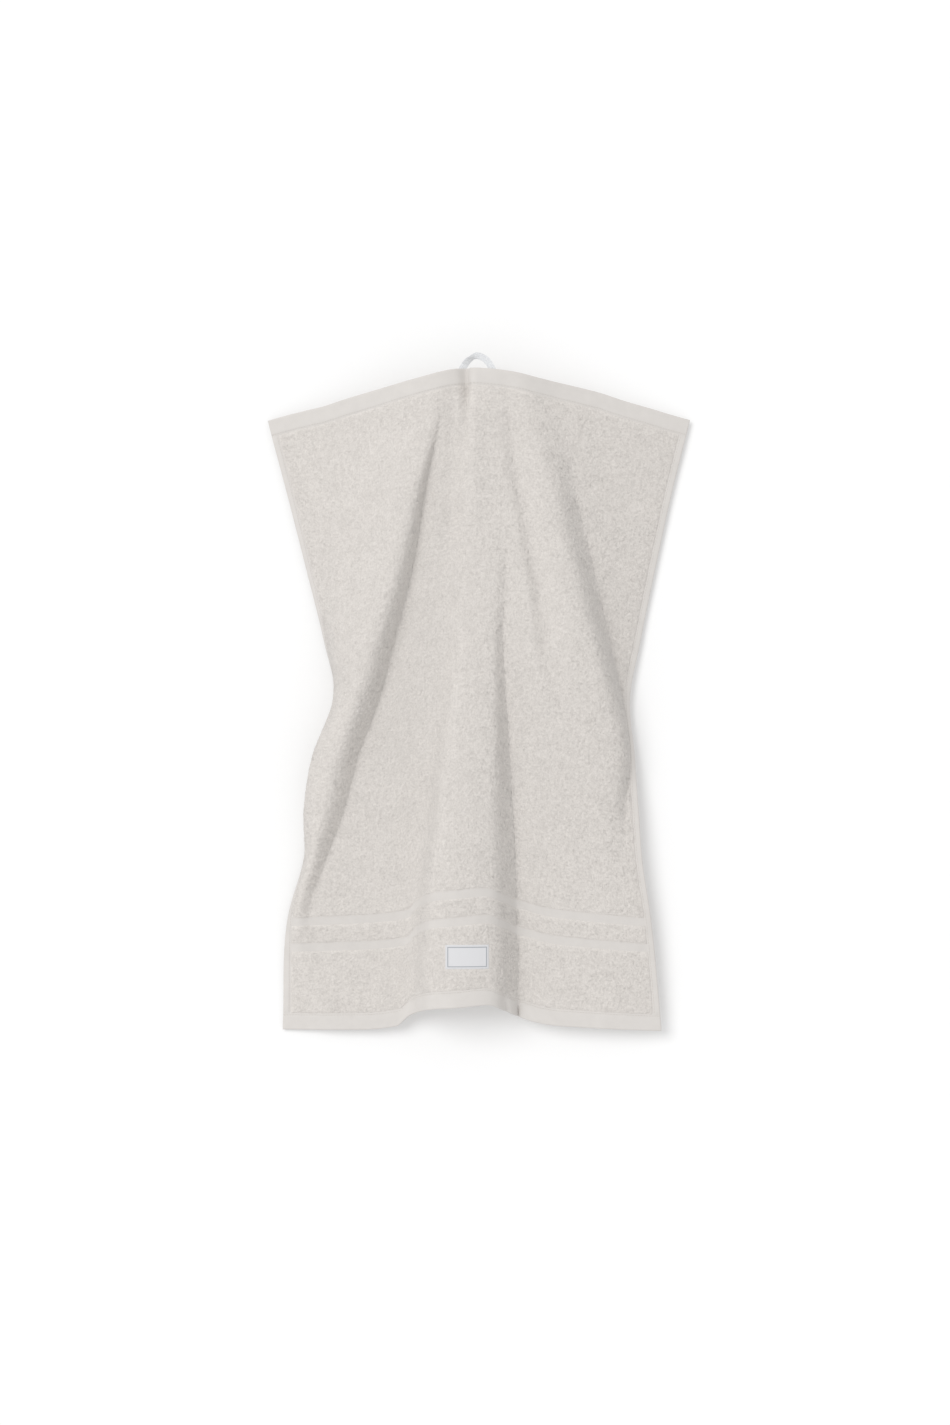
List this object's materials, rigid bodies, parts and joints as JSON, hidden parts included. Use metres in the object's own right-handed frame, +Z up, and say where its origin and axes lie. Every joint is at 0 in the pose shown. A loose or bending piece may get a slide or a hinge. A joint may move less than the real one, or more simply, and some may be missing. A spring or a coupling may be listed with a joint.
{
  "type": "hand towel",
  "caption": "Terry hand towel hung by a tape loop, with deep vertical folds, flat-woven stripes, hems and a plain sewn label.",
  "frame": {"origin": "top of the hanging loop, where a hook or peg takes it", "axes": "+Z up, the front with the label faces -Y, and +X is to the right seen from the front"},
  "size_m": [0.4625, 0.066, 0.7338],
  "materials": {
    "terry": "cotton terry, soft and matte",
    "tape": "cotton twill tape, matte",
    "label": "fine woven label, faint sheen"
  },
  "bodies": {
    "root": {"towel": "terry", "hanging_loop": "tape", "woven_label": "label"}
  },
  "joints": []
}
